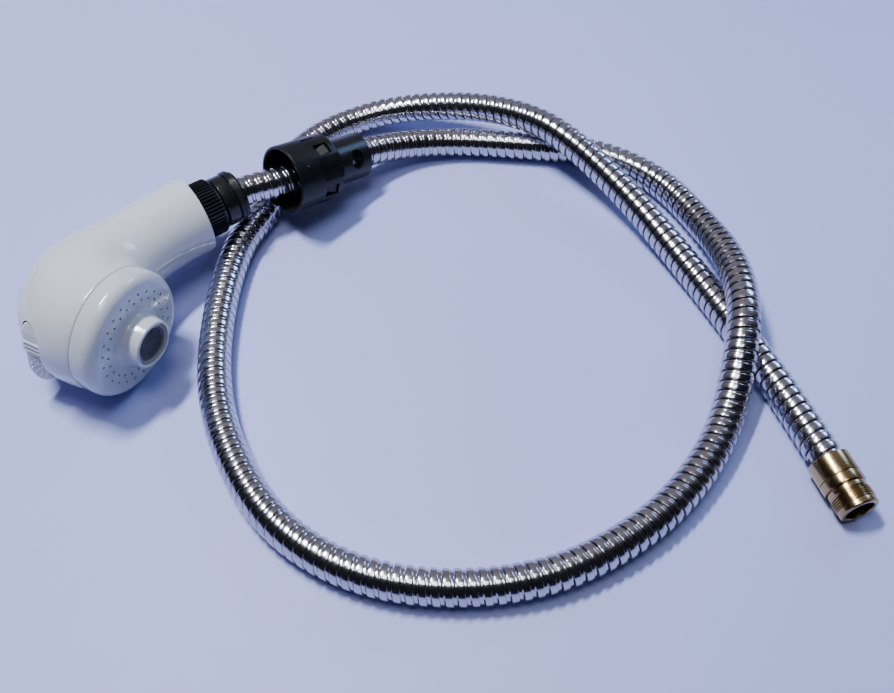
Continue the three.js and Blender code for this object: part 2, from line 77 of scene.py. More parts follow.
HOSE_LEAD = 0.2  # from the hose's end to the first turn of the strip
GUIDE_AT = (46.3, -9.0, 30.5)
GUIDE_YAW = 3.5
GUIDE_PITCH = 14.04
SLOT_ANGLES = (75, 212)
SNAP_ANGLES = (108, 186)
FLAT_ANGLE = 144
BRASS_AT = (145.7, -284.6, 9.4)
BRASS_YAW = -110.8

# Raised dots low on the rocker, spreading downwards: across, and along.
ROCKER_DOTS = [(0, -3.2), (-1.5, -4.8), (1.5, -4.8), (0, -6.4), (-3, -7.2),
               (3, -7.2), (-1.4, -8.4), (1.4, -8.4), (-3.2, -10.0), (0, -10.2),
               (3.2, -10.0), (-1.6, -12.0), (1.6, -12.0)]

SHELL_SECTIONS = [
    (0, -19.55, 90, 39.1, 19.55), (-12, -19.9, 93, 38.4, 19.2),
    (-24, -21.6, 99, 38.4, 19.3), (-33, -24.2, 108, 40.5, 20.4),
    (-37, -26.3, 122, 46, 22.8), (-38.7, -28, 140, 53, 25.8),
    (-39, -29.3, 160, 59.5, 28.4), (-38.6, -30.2, 180, 62.5, 29.7),
    (-38.1, -30.4, 195, 62, 30.1), (-37.7, -30.3, 205.4, 60.2, 30.1),
]

HOSE_ROUTE = [
    (16.4, 0, 27.34), (29, -0.1, 26.8), (46, -3.8, 25.5), (64, -6.2, 23.7),
    (82, -6.9, 21.5), (100.3, -5.6, 17), (124, -8.8, 11.3), (148, -20.5, 8.4),
    (177, -46.8, 8), (205.9, -78.9, 8), (216.8, -114.7, 8), (210.5, -153.1, 9),
    (196.4, -181.4, 17), (175.7, -206.2, 24.2), (158.3, -221.5, 22),
    (131.2, -240.7, 10.8), (105, -251.5, 8.2), (67.4, -257.1, 8),
    (20.4, -249.5, 8), (-19.1, -226.3, 8), (-46, -194.8, 8), (-58, -155.9, 8),
    (-51.3, -105.5, 8), (-29.2, -61.6, 8), (12.1, -15, 8), (38.1, -0.8, 8),
    (63.5, 19.6, 8), (79, 26.9, 8), (94.8, 30, 8), (113.2, 28.8, 8.3),
    (134.9, 20.3, 10.8), (158.5, -1, 16.3), (176.5, -29.1, 22), (187, -62, 24.3),
    (190.2, -112.8, 15.5), (184.2, -161.3, 8.8), (172.2, -209.6, 8),
    (157, -256, 8.4), (146.8, -281.8, 9.4), (143.7, -289.9, 9.4),
]


# ---- frames ----------------------------------------------------------------------
def turn(axis, degrees):
    return Matrix.Rotation(math.radians(degrees), 4, axis)


def on_floor(point):
    return Matrix.Translation(
        (point[0] + HEAD_AT[0], point[1] + HEAD_AT[1], point[2]))


HEAD = Matrix.Translation(HEAD_AT) @ turn("Y", HANDLE_PITCH)
FACE = HEAD @ Matrix.Translation(FACE_AT) @ turn("Z", -FACE_ANGLE)
ROCKER = (FACE @ Matrix.Translation((ROCKER_D, ROCKER_Y, ROCKER_Z))
          @ turn("X", -ROCKER_TILT))
GUIDE = on_floor(GUIDE_AT) @ turn("Y", GUIDE_PITCH) @ turn("Z", GUIDE_YAW)
BRASS = on_floor(BRASS_AT) @ turn("Z", BRASS_YAW)


# ---- mesh helpers ----------------------------------------------------------------
class Shape:
    """Vertices and faces in one local frame, in millimetres."""

    def __init__(self, verts=(), faces=()):
        self.verts = [tuple(v) for v in verts]
        self.faces = [tuple(f) for f in faces]

    def add(self, other):
        n = len(self.verts)
        self.verts += other.verts
        self.faces += [tuple(i + n for i in f) for f in other.faces]
        return self

    def moved(self, matrix):
        return Shape([tuple(matrix @ Vector(v)) for v in self.verts], self.faces)


def skin(rings, close_rings=False, caps=False):
    """A surface through rings with the same number of points."""
    n, m = len(rings), len(rings[0])
    verts = [p for r in rings for p in r]
    faces = []
    for i in range(n if close_rings else n - 1):
        a, b = i * m, ((i + 1) % n) * m
        for j in range(m):
            k = (j + 1) % m
            faces.append((a + j, a + k, b + k, b + j))
    if caps:
        faces.append(tuple(range(m - 1, -1, -1)))
        faces.append(tuple((n - 1) * m + j for j in range(m)))
    return Shape(verts, faces)


def soften(outline, radius, steps=4):
    """Rounds the corners of a closed outline of (x, r) points."""
    out = []
    n = len(outline)
    for i, p in enumerate(outline):
        p = np.array(p, float)
        a = np.array(outline[i - 1], float) - p
        b = np.array(outline[(i + 1) % n], float) - p
        la, lb = np.linalg.norm(a), np.linalg.norm(b)
        if min(la, lb) < 1e-6:
            continue
        a, b = a / la, b / lb
        cosine = float(np.clip(a @ b, -1, 1))
        if cosine < -0.93 or p[1] < 1e-6:
            out.append(tuple(p))
            continue
        half = math.acos(cosine) / 2
        reach = min(radius / math.tan(half), 0.42 * la, 0.42 * lb)
        r = reach * math.tan(half)
        centre = p + (a + b) / np.linalg.norm(a + b) * (r / math.sin(half))
        start, end = p + a * reach - centre, p + b * reach - centre
        angle = math.acos(float(np.clip(start @ end / (r * r), -1, 1)))
        for k in range(steps + 1):
            f = k / steps
            if angle < 1e-3:
                out.append(tuple(p))
                break
            q = (math.sin((1 - f) * angle) * start + math.sin(f * angle) * end)
            out.append(tuple(centre + q / math.sin(angle)))
    return out


def turned(outline, sides=96, soft=0.0):
    """A body of revolution about X from a closed outline of (x, r) points."""
    pts = soften(outline, soft) if soft else list(outline)
    area = sum(pts[i][0] * pts[(i + 1) % len(pts)][1]
               - pts[(i + 1) % len(pts)][0] * pts[i][1] for i in range(len(pts)))
    if area < 0:
        pts.reverse()
    pts = [(x, max(r, 0.004)) for x, r in pts]
    angles = [2 * math.pi * j / sides for j in range(sides)]
    rings = [[(x, r * math.cos(a), r * math.sin(a)) for a in angles] for x, r in pts]
    return skin(rings, close_rings=True)


def ring(x0, x1, outer, inner, sides=64, soft=0.15):
    return turned([(x0, inner), (x0, outer), (x1, outer), (x1, inner)], sides, soft)


def rod(x0, x1, r, sides=24, soft=0.0):
    outline = [(x0, 0), (x0, r), (x1, r), (x1, 0)]
    return turned(outline, sides, soft)


def box(size, at):
    verts = [(at[0] + size[0] * (i - 0.5), at[1] + size[1] * (j - 0.5),
              at[2] + size[2] * (k - 0.5))
             for i in (0, 1) for j in (0, 1) for k in (0, 1)]
    faces = [(0, 1, 3, 2), (4, 6, 7, 5), (0, 4, 5, 1), (2, 3, 7, 6), (0, 2, 6, 4),
             (1, 5, 7, 3)]
    return Shape(verts, faces)


def stadium_points(wide, long, count=20):
    """Points round a bar with round ends, wide along X and long along Z."""
    r, h = wide / 2, (long - wide) / 2
    out = []
    for centre, first in ((h, 0.0), (-h, math.pi)):
        for k in range(count + 1):
            a = first + math.pi * k / count
            out.append((r * math.cos(a), centre + r * math.sin(a)))
    return out


def stadium(wide, long, y0, y1):
    pts = stadium_points(wide, long)
    return skin([[(x, y, z) for x, z in pts] for y in (y1, y0)], caps=True)


def mesh_object(name, shape, matrix, sharp=35):
    data = bpy.data.meshes.new(name)
    m = np.array(matrix)
    v = np.array(shape.verts, float) @ m[:3, :3].T + m[:3, 3]
    data.from_pydata((v * MM).tolist(), [], shape.faces)
    data.validate()
    data.update()
    data.polygons.foreach_set("use_smooth", [True] * len(data.polygons))
    data.set_sharp_from_angle(angle=math.radians(sharp))
    obj = bpy.data.objects.new(name, data)
    bpy.context.scene.collection.objects.link(obj)
    return obj


def fix_normals(obj):
    bm = bmesh.new()
    bm.from_mesh(obj.data)
    bmesh.ops.recalc_face_normals(bm, faces=bm.faces)
    bm.to_mesh(obj.data)
    bm.free()


def carve(obj, tool_shape, matrix, sharp=35):
    """Cuts the tool's shape out of obj."""
    tool = mesh_object(obj.name + "_tool", tool_shape, matrix)
    fix_normals(obj)
    fix_normals(tool)
    mod = obj.modifiers.new("cut", "BOOLEAN")
    mod.operation = "DIFFERENCE"
    mod.solver = "EXACT"
    mod.object = tool
    mod.use_self = True
    bpy.context.view_layer.update()
    graph = bpy.context.evaluated_depsgraph_get()
    data = bpy.data.meshes.new_from_object(obj.evaluated_get(graph))
    obj.modifiers.clear()
    obj.data = data
    bpy.data.objects.remove(tool)
    data.polygons.foreach_set("use_smooth", [True] * len(data.polygons))
    data.set_sharp_from_angle(angle=math.radians(sharp))


def place(obj, material, body, slot, *nodes):
    """Gives a piece its material and body, and hides the CAD nodes it stands for."""
    obj.data.materials.clear()
    obj.data.materials.append(material)
    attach(obj, body)
    if nodes:
        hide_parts(*nodes)
    return obj


# ---- materials -------------------------------------------------------------------
def node(tree, kind, **values):
    n = tree.nodes.new(kind)
    for key, value in values.items():
        setattr(n, key, value)
    return n


def surface(name, color, rough, metal=0.0, vary=0.03, rough_vary=0.05, bump=0.02,
            scale=400.0, coat=0.0, tint=None, specular=0.5):
    """A material whose colour, roughness and height vary a little with fine noise."""
    mat = bpy.data.materials.new(name)
    mat.use_nodes = True
    t = mat.node_tree
    t.nodes.clear()
    out = node(t, "ShaderNodeOutputMaterial")
    bsdf = node(t, "ShaderNodeBsdfPrincipled")
    t.links.new(bsdf.outputs[0], out.inputs[0])
    where = node(t, "ShaderNodeTexCoord")
    large = node(t, "ShaderNodeTexNoise")
    large.inputs["Scale"].default_value = scale / 12
    large.inputs["Detail"].default_value = 4
    fine = node(t, "ShaderNodeTexNoise")
    fine.inputs["Scale"].default_value = scale
    fine.inputs["Detail"].default_value = 6
    t.links.new(where.outputs["Object"], large.inputs["Vector"])
    t.links.new(where.outputs["Object"], fine.inputs["Vector"])
    ramp = node(t, "ShaderNodeValToRGB")
    other = tint or [c * (1 - 2 * vary) for c in color]
    ramp.color_ramp.elements[0].position = 0.3
    ramp.color_ramp.elements[1].position = 0.7
    ramp.color_ramp.elements[0].color = (*other, 1)
    ramp.color_ramp.elements[1].color = (*[min(1, c * (1 + vary)) for c in color], 1)
    t.links.new(large.outputs[0], ramp.inputs[0])
    t.links.new(ramp.outputs[0], bsdf.inputs["Base Color"])
    span = node(t, "ShaderNodeMapRange")
    span.inputs["To Min"].default_value = max(0.02, rough - rough_vary)
    span.inputs["To Max"].default_value = rough + rough_vary
    t.links.new(fine.outputs[0], span.inputs["Value"])
    t.links.new(span.outputs[0], bsdf.inputs["Roughness"])
    bumps = node(t, "ShaderNodeBump")
    bumps.inputs["Strength"].default_value = bump
    bumps.inputs["Distance"].default_value = 0.0002
    t.links.new(fine.outputs[0], bumps.inputs["Height"])
    t.links.new(bumps.outputs[0], bsdf.inputs["Normal"])
    bsdf.inputs["Metallic"].default_value = metal
    bsdf.inputs["Coat Weight"].default_value = coat
    bsdf.inputs["Coat Roughness"].default_value = 0.06
    bsdf.inputs["Specular IOR Level"].default_value = specular
    return mat


def turned_brass(name, matrix):
    """Brass with fine tool marks round the axis of the given frame."""
    mat = surface(name, (0.50, 0.375, 0.18), 0.19, 1.0, vary=0.05, bump=0.012,
                  scale=900, tint=(0.38, 0.27, 0.12))
    t = mat.node_tree
    bsdf = next(n for n in t.nodes if n.type == "BSDF_PRINCIPLED")
    where = node(t, "ShaderNodeTexCoord")
    mapping = node(t, "ShaderNodeMapping", vector_type="TEXTURE")
    mapping.inputs["Location"].default_value = [c * MM for c in matrix.translation]
    mapping.inputs["Rotation"].default_value = matrix.to_euler()
    wave = node(t, "ShaderNodeTexWave", wave_type="BANDS", bands_direction="X")
    wave.inputs["Scale"].default_value = 1500
    wave.inputs["Distortion"].default_value = 1.5
    t.links.new(where.outputs["Object"], mapping.inputs[0])
    t.links.new(mapping.outputs[0], wave.inputs[0])
    marks = node(t, "ShaderNodeBump")
    marks.inputs["Strength"].default_value = 0.06
    marks.inputs["Distance"].default_value = 0.0001
    t.links.new(wave.outputs[1], marks.inputs["Height"])
    old = next(n for n in t.nodes if n.type == "BUMP" and n != marks)
    t.links.new(old.outputs[0], marks.inputs["Normal"])
    t.links.new(marks.outputs[0], bsdf.inputs["Normal"])
    return mat


WHITE = surface("white_gloss", (0.61, 0.635, 0.665), 0.16, vary=0.012, rough_vary=0.03,
                bump=0.012, scale=900, coat=0.3)
# The face cap's white is a darker, bluer copy of the white gloss: painted shade for the
# face, which turns away from the light.
WHITE_CAP_PAINTED_SHADE = surface("white_gloss_cap_painted_shade", (0.57, 0.595, 0.635), 0.17, vary=0.012,
                    rough_vary=0.03, bump=0.012, scale=900, coat=0.3)
GREY = surface("grey_inner", (0.30, 0.31, 0.34), 0.38, vary=0.04, bump=0.05)
BLACK = surface("black_gloss", (0.009, 0.009, 0.011), 0.24, vary=0.2, bump=0.04,
                scale=1500, specular=0.4)
BLACK_SATIN = surface("black_satin", (0.007, 0.007, 0.009), 0.3, vary=0.2, bump=0.06,
                      scale=1200, specular=0.3)
RUBBER = surface("rubber_black", (0.012, 0.012, 0.013), 0.28, vary=0.2, bump=0.05)
CHROME = surface("chrome_strip", (0.58, 0.57, 0.60), 0.17, 1.0, vary=0.03,
                 rough_vary=0.04, bump=0.03, scale=700, tint=(0.50, 0.49, 0.53))
STEEL = surface("steel_small", (0.42, 0.42, 0.45), 0.34, 1.0, vary=0.08, bump=0.06)
SCREEN = surface("screen_mesh", (0.16, 0.16, 0.19), 0.45, 0.5, vary=0.2, bump=0.2,
                 scale=2500)
BRASS_BODY = turned_brass("brass_turned", BRASS)
BRASS_TIP = turned_brass("brass_turned_tip", BRASS)

# ---- hose ------------------------------------------------------------------------
def spline(points, count):
    """A centripetal Catmull-Rom curve through points, sampled evenly by length."""
    p = np.array(points, float)
    p = np.vstack([2 * p[0] - p[1], p, 2 * p[-1] - p[-2]])
    out = []
    for i in range(1, len(p) - 2):
        q = p[i - 1:i + 3]
        t = np.concatenate([[0], np.cumsum(np.linalg.norm(np.diff(q, axis=0), axis=1)
                                           ** 0.5)])
        u = np.linspace(t[1], t[2], 40, endpoint=False)[:, None]
        a = [(t[k + 1] - u) / (t[k + 1] - t[k]) * q[k]
             + (u - t[k]) / (t[k + 1] - t[k]) * q[k + 1] for k in range(3)]
        b = [(t[k + 2] - u) / (t[k + 2] - t[k]) * a[k]
             + (u - t[k]) / (t[k + 2] - t[k]) * a[k + 1] for k in range(2)]
        out.append((t[2] - u) / (t[2] - t[1]) * b[0] + (u - t[1]) / (t[2] - t[1]) * b[1])
    fine = np.vstack(out + [p[-2]])
    for _ in range(2):  # eases the curve where its bend changes at the points
        inner = fine.copy()
        for _ in range(60):
            inner[1:-1] = 0.25 * inner[:-2] + 0.5 * inner[1:-1] + 0.25 * inner[2:]
        fine = inner
    s = np.concatenate([[0], np.cumsum(np.linalg.norm(np.diff(fine, axis=0), axis=1))])
    even = np.linspace(0, s[-1], count)
    return np.column_stack([np.interp(even, s, fine[:, k]) for k in range(3)]), s[-1]


# One turn of the strip: place along the pitch, and radius.
STRIP = [(0.0, 7.30), (0.012, 7.62), (0.04, 7.77), (0.10, 7.80), (0.34, 7.80),
         (0.54, 7.80), (0.575, 7.76), (0.595, 7.55), (0.60, 5.6), (0.69, 5.6),
         (0.70, 6.98), (0.74, 7.12), (0.90, 7.12), (0.985, 7.08)]


def hose_shape(line, length, around=44):
    """A strip wound as a right-hand helix round the line, from end to end."""
    p = np.array(line) + np.array([HEAD_AT[0], HEAD_AT[1], 0])
    n = len(p)
    tangent = np.gradient(p, axis=0)
    tangent /= np.linalg.norm(tangent, axis=1)[:, None]
    side = np.zeros_like(p)
    side[0] = np.cross(tangent[0], (0, 0, 1))
    side[0] /= np.linalg.norm(side[0])
    for i in range(1, n):
        v = side[i - 1] - tangent[i] * (side[i - 1] @ tangent[i])
        side[i] = v / np.linalg.norm(v)
    up = np.cross(tangent, side)
    s_line = np.linspace(0, length, n)
    turns = int(length / HOSE_PITCH) - 1
    knots = [(t + u, r) for t in range(turns) for u, r in STRIP]
    phi = 2 * np.pi * np.arange(around) / around
    verts = []
    for at, r in knots:
        s = HOSE_PITCH * (at + phi / (2 * np.pi)) + HOSE_LEAD
        c = np.column_stack([np.interp(s, s_line, p[:, k]) for k in range(3)])
        a = np.column_stack([np.interp(s, s_line, side[:, k]) for k in range(3)])
        b = np.column_stack([np.interp(s, s_line, up[:, k]) for k in range(3)])
        verts.append(c + r * (np.cos(phi)[:, None] * a + np.sin(phi)[:, None] * b))
    rows = len(verts)
    m = len(STRIP)
    faces = []
    for i in range(rows - 1):
        for j in range(around):
            if j < around - 1:
                faces.append((i * around + j, i * around + j + 1,
                              (i + 1) * around + j + 1, (i + 1) * around + j))
            elif i + 1 + m < rows:
                faces.append((i * around + j, (i + m) * around,
                              (i + 1 + m) * around, (i + 1) * around + j))
    return Shape(np.vstack(verts).tolist(), faces), p


hose_line, hose_length = spline(HOSE_ROUTE, 1600)
hose_mesh, hose_path = hose_shape(hose_line, hose_length)
hose = mesh_object("hose_strip", hose_mesh, Matrix.Identity(4), sharp=50)
place(hose, CHROME, "head_and_hose", "chrome_strip", "hose")

# ---- camera ----------------------------------------------------------------------
CAMERA_AT = (-73.52, -320.01, 369.13)
CAMERA_DOWN = 53.1  # degrees below level
CAMERA_HEADING = 51.32  # degrees from +X

camera = bpy.data.cameras.new("camera")
camera.lens = 38.255
camera.sensor_width = 36.0
camera.clip_start = 0.01
camera_object = bpy.data.objects.new("camera", camera)
bpy.context.scene.collection.objects.link(camera_object)
camera_object.location = Vector(CAMERA_AT) * MM
camera_object.rotation_euler = (math.radians(90 - CAMERA_DOWN), 0,
                                math.radians(CAMERA_HEADING - 90))
bpy.context.scene.camera = camera_object


# ---- head shell ------------------------------------------------------------------
def natural(values, t):
    """A natural cubic spline through evenly spaced values, at t from 0 to 1."""
    y = np.array(values, float)
    n = len(y)
    a = np.zeros((n, n))
    d = np.zeros(n)
    a[0, 0] = a[-1, -1] = 1
    for i in range(1, n - 1):
        a[i, i - 1:i + 2] = 1, 4, 1
        d[i] = 6 * (y[i - 1] - 2 * y[i] + y[i + 1])
    m = np.linalg.solve(a, d)
    x = t * (n - 1)
    k = min(int(x), n - 2)
    f = x - k
    return (m[k] * (1 - f) ** 3 + m[k + 1] * f ** 3) / 6 \
        + (y[k] - m[k] / 6) * (1 - f) + (y[k + 1] - m[k + 1] / 6) * f


def shell_ring(t, inset=0.0, push=0.0, sides=128):
    ix, iy, angle, long, high = (natural([s[c] for s in SHELL_SECTIONS], t)
                                 for c in range(5))
    a = math.radians(angle)
    out = []
    for j in range(sides):
        b = 2 * math.pi * j / sides
        u = long / 2 + math.cos(b) * (long / 2 - inset)
        out.append((ix + math.cos(a) * u - math.sin(a) * push,
                    iy + math.sin(a) * u + math.cos(a) * push,
                    -math.sin(b) * (high - inset)))
    return out


def shell_shape():
    edge = [(0.5, 0.0), (0.24, 0.07), (0.07, 0.24), (0.0, 0.5)]
    fine = [i / 90 for i in range(91)]
    rings = [shell_ring(0, inset, back) for back, inset in reversed(edge)]
    rings += [shell_ring(t) for t in fine[1:-1]]
    rings += [shell_ring(1, inset, -back) for back, inset in edge]
    rings += [shell_ring(t, WALL) for t in reversed(fine[::3])]
    return skin(rings, close_rings=True)


shell = mesh_object("head_shell_fine", shell_shape(), HEAD)
window = stadium(ROCKER_WIDE + 1.1, ROCKER_LONG + 4.9, -45, -14)
carve(shell, window.moved(Matrix.Translation((ROCKER_D, 0, ROCKER_Z))), FACE, sharp=40)
place(shell, WHITE, "head_and_hose", "white_gloss", "head_shell")


# ---- spray face ------------------------------------------------------------------
def cap_outline():
    out = [(0.3, SEAM_R - 2.4), (0.3, SEAM_R - 0.35), (0.4, SEAM_R - 0.1),
           (0.65, SEAM_R)]
    for k in range(19):
        a = math.radians(5 * k)
        out.append((CAP_DEPTH - CAP_EDGE * (1 - math.sin(a)),
                    SEAM_R - CAP_EDGE * (1 - math.cos(a))))
    for k in range(13):
        a = math.radians(7.5 * k)
        out.append((CAP_DEPTH + 2.5 * (1 - math.cos(a)),
                    SPOUT_R + 1.1 + 2.5 * (1 - math.sin(a))))
    out += [(SPOUT_END - 1.6, SPOUT_R + 0.25)]
    for k in range(7):
        a = math.radians(15 * k)
        out.append((SPOUT_END - 0.7 + 0.7 * math.sin(a),
                    SPOUT_R - 0.6 + 0.7 * math.cos(a)))
    out += [(SPOUT_END, SPOUT_BORE + 0.2), (SPOUT_END - 0.2, SPOUT_BORE),
            (CAP_DEPTH - CAP_PLATE, SPOUT_BORE), (CAP_DEPTH - CAP_PLATE, SEAM_R - 6),
            (CAP_DEPTH - 5, SEAM_R - 2.4)]
    return out


def nozzle_pins():
    pins = Shape()
    for k, r in enumerate(NOZZLE_RINGS):
        for i in range(NOZZLES):
            a = (i + k / 2) / NOZZLES * 2 * math.pi
            pin = rod(CAP_DEPTH - 1.6, CAP_DEPTH + 1, NOZZLE_R, 10)
            pins.add(pin.moved(Matrix.Translation(
                (0, r * math.cos(a), r * math.sin(a)))))
    return pins


cap = mesh_object("face_cap_fine", turned(cap_outline(), 160), FACE)
carve(cap, nozzle_pins(), FACE, sharp=35)
# The cap gets the darker, bluer copy of the white gloss, which is painted shade for the
# face turned away from the light.
place(cap, WHITE_CAP_PAINTED_SHADE, "head_and_hose", "white_gloss", "face_cap")


def piece(name, shape, matrix, material, body, slot, *nodes, sharp=35):
    obj = mesh_object(name, shape, matrix, sharp)
    fix_normals(obj)
    obj.data.set_sharp_from_angle(angle=math.radians(sharp))
    return place(obj, material, body, slot, *nodes)


HEAD_BODY = "head_and_hose"
piece("aerator_housing_fine", turned([
    (9.3, 8.4), (9.3, 9.5), (20.2, 9.5), (20.2, 8.5), (18.2, 8.5), (18.2, 7.4),
    (16.4, 7.4), (16.4, 8.4)], 96, 0.2), FACE, GREY, HEAD_BODY, "grey_inner",
    "aerator_housing")


def woven_screen():
    """Two layers of crossing wires inside a rim."""
    out = ring(18.5, 19.2, 8.3, 7.5)
    out.add(rod(18.3, 18.45, 7.6, 48))
    for layer, x in ((0, 18.75), (1, 18.95)):
        for k in range(-8, 9):
            at = k * 0.9
            half = math.sqrt(max(7.7 ** 2 - at ** 2, 0.2))
            wire = rod(-half, half, 0.17, 6).moved(turn("Z", 90))
            wire = wire.moved(Matrix.Translation((x, 0, at)))
            out.add(wire.moved(turn("X", 90 * layer)))
    return out


piece("aerator_screen_fine", woven_screen(), FACE, SCREEN, HEAD_BODY, "steel_small",
      "aerator_screen")


# ---- rocker ----------------------------------------------------------------------
def rocker_height(z):
    """Height of the rocker's outside above its pivot."""
    half = ROCKER_LONG / 2
    low, high = CREST_SPAN
    if z > high:
        f = (z - high) / (half - high)
    elif z < low:
        f = (low - z) / (half + low)
    else:
        f = 0
    lean = 0.3 * (high - max(z, low)) / (high - low) if z < high else 0
    return ROCKER_CREST - lean - (ROCKER_CREST - ROCKER_END - lean) * f ** 1.1


def rocker_shape():
    """A bar with round ends, and an outside that slopes to both ends."""
    inner = [6.1, 5, 4, 3, 2, 1.4, 1.0, 0.7, 0.45, 0.25, 0.1, 0.0]
    rings = []
    for inset in inner:
        u = min(inset / 1.4, 1)
        drop = 1.4 * (1 - math.sqrt(max(0, 1 - (1 - u) ** 2)))
        pts = stadium_points(ROCKER_WIDE - 2 * inset, ROCKER_LONG - 2 * inset, 24)
        rings.append([(x, -rocker_height(z) + drop, z) for x, z in pts])
    pts = stadium_points(ROCKER_WIDE, ROCKER_LONG, 24)
    rings.append([(x, -3.5, z) for x, z in pts])
    body = skin(rings, caps=True)
    for z in ROCKER_RIBS:
        rib = rod(-RIB_HALF, RIB_HALF, RIB_R, 20, 0.45)
        body.add(rib.moved(Matrix.Translation((0, -ROCKER_CREST - 0.05, z))))
    for x, z in ROCKER_DOTS:
        y = -rocker_height(z)
        body.add(dome(DOT_R).moved(Matrix.Translation((x, y, z))))
    body.add(rod(-3.8, 3.8, 3.6, 32, 0.3))
    body.add(box((6, 9, 3.4), (0, 4.5, 0)))
    body.add(rod(-3, 3, 1.9, 24, 0.3).moved(Matrix.Translation((0, 9, 0))))
    return body


def dome(r, sides=12):
    rings = []
    for k in range(5):
        a = math.radians(min(22 * k, 86))
        rings.append([(r * math.cos(a) * math.cos(b), -0.8 * r * math.sin(a),
                       r * math.cos(a) * math.sin(b))
                      for b in (2 * math.pi * j / sides for j in range(sides))])
    return skin(rings, caps=True)


piece("selector_rocker_fine", rocker_shape(), ROCKER, WHITE, "rocker", "white_gloss",
      "selector_rocker", sharp=50)


# ---- hose fittings ---------------------------------------------------------------
def nut_shape(per_rib=10):
    """A nut with rounded ribs that fade into the chamfer at its outer end."""
    n = NUT_RIBS * per_rib
    wave = []
    for j in range(n):
        f = (j % per_rib) / per_rib
        wave.append(max(0.0, math.cos(2 * math.pi * (f - 0.5))) ** 0.6)
    stations = [(-1.5, 13.4, 0), (-1.3, NUT_R - 0.8, 1), (10.2, NUT_R - 0.8, 1),
                (10.9, NUT_R - 0.9, 0.7), (11.6, NUT_R - 1.2, 0.2),
                (12.1, NUT_R - 1.8, 0), (12.2, NUT_R - 2.2, 0)]
    rings = []
    for x, r, k in stations:
        rings.append([(x, (r + 0.8 * k * w) * math.cos(2 * math.pi * j / n),
                       (r + 0.8 * k * w) * math.sin(2 * math.pi * j / n))
                      for j, w in enumerate(wave)])
    for x, r in ((12.2, 8.9), (12.0, 8.7), (8.6, 8.7), (8.6, 10.4), (-1.5, 10.4)):
        rings.append([(x, r * math.cos(2 * math.pi * j / n),
                       r * math.sin(2 * math.pi * j / n)) for j in range(n)])
    return skin(rings, close_rings=True)


piece("union_nut_fine", nut_shape(), HEAD, BLACK, "nut", "black_gloss", "union_nut",
      sharp=28)
piece("swivel_collar_fine", turned([
    (6.2, 5.6), (6.2, 10), (8.2, 10), (8.2, 8.3), (12.6, 8.3), (12.6, 12.3),
    (13.2, 12.9), (18.9, 12.9), (19.3, 11.9), (23.2, 11.9), (23.2, 12.6),
    (24.6, 12.3), (24.6, 8.25), (16, 8.25), (16, 5.6)], 128, 0.25),
    HEAD, BLACK, HEAD_BODY, "black_gloss", "swivel_collar")


def grooved_ring():
    out = [(20.0, 12.2), (20.0, 13.1)]
    for k in range(3):
        x = 20.15 + 0.92 * k
        for i in range(9):
            a = math.pi * i / 8
            out.append((x + 0.42 - 0.42 * math.cos(a), 13.1 + 0.42 * math.sin(a)))
    out += [(22.9, 13.1), (22.9, 12.2)]
    return turned(out, 128)


piece("collar_ring_fine", grooved_ring(), HEAD, RUBBER, HEAD_BODY, "rubber_black",
      "collar_ring", sharp=60)
piece("handle_plug_fine", turned([
    (-6, 5), (-6, 16.1), (-3.2, 16.1), (-3.2, 9.9), (4, 9.9), (4, 5)], 96, 0.3),
    HEAD, GREY, HEAD_BODY, "white_gloss", "handle_plug")

# ---- hose guide ------------------------------------------------------------------
def round_guide(shape, angle, along=0.0):
    return shape.moved(turn("X", angle) @ Matrix.Translation((along, 0, 0)))


sleeve = mesh_object("guide_sleeve_fine", turned([
    (0, 16), (0, 17.5), (26.6, 17.5), (28.4, 15.9), (28.4, 12.6), (26.2, 12.6),
    (26.2, 15), (25, 16)], 144, 0.45), GUIDE)
sleeve_cuts = Shape()
for angle in SLOT_ANGLES:
    sleeve_cuts.add(round_guide(box((8, 6, 1.3), (17, 17, 0)), angle))
for angle in SNAP_ANGLES:
    sleeve_cuts.add(round_guide(box((8, 6, 6.6), (19.5, 17, 0)), angle))
carve(sleeve, sleeve_cuts, GUIDE)
carve(sleeve, round_guide(box((20, 6, 30), (24.5, 19.4, 0)), FLAT_ANGLE), GUIDE)
place(sleeve, BLACK_SATIN, "guide", "black_satin", "guide_sleeve")

neck = mesh_object("guide_neck_fine", turned([
    (22.4, 11.4), (22.4, 15.5), (24.7, 15.5), (25.8, 14.4), (25.8, 12.2),
    (50.3, 12.2), (50.3, 10), (28.4, 10)], 128, 0.4), GUIDE)
carve(neck, stadium(7.4, 10.4, 0, 16).moved(
    turn("X", 148) @ Matrix.Translation((41, 0, 0))), GUIDE)
place(neck, BLACK_SATIN, "guide", "black_satin", "guide_neck")


def wedge_tab():
    """A snap tab that rises towards the shoulder's side of its window."""
    verts = [(17.6, 13.8, -2.5), (17.6, 13.8, 2.5), (22.9, 13.8, 2.5), (22.9, 13.8, -2.5),
             (17.6, 15.2, -2.5), (17.6, 15.2, 2.5), (22.1, 17.0, 2.5),
             (22.1, 17.0, -2.5)]
    faces = [(0, 1, 2, 3), (4, 7, 6, 5), (0, 4, 5, 1), (3, 2, 6, 7), (0, 3, 7, 4),
             (1, 5, 6, 2)]
    return Shape(verts, faces)


tabs = Shape()
for angle in SNAP_ANGLES:
    tabs.add(round_guide(wedge_tab(), angle))
piece("guide_tabs", tabs, GUIDE, BLACK_SATIN, "guide", "black_satin")
pip = dome(0.9, 16).moved(turn("X", 180) @ Matrix.Translation((7, 0, 0)))
pip = pip.moved(Matrix.Translation((0, 17.4, 0)))
piece("guide_pip", round_guide(pip, 131), GUIDE, BLACK_SATIN, "guide", "black_satin",
      sharp=60)

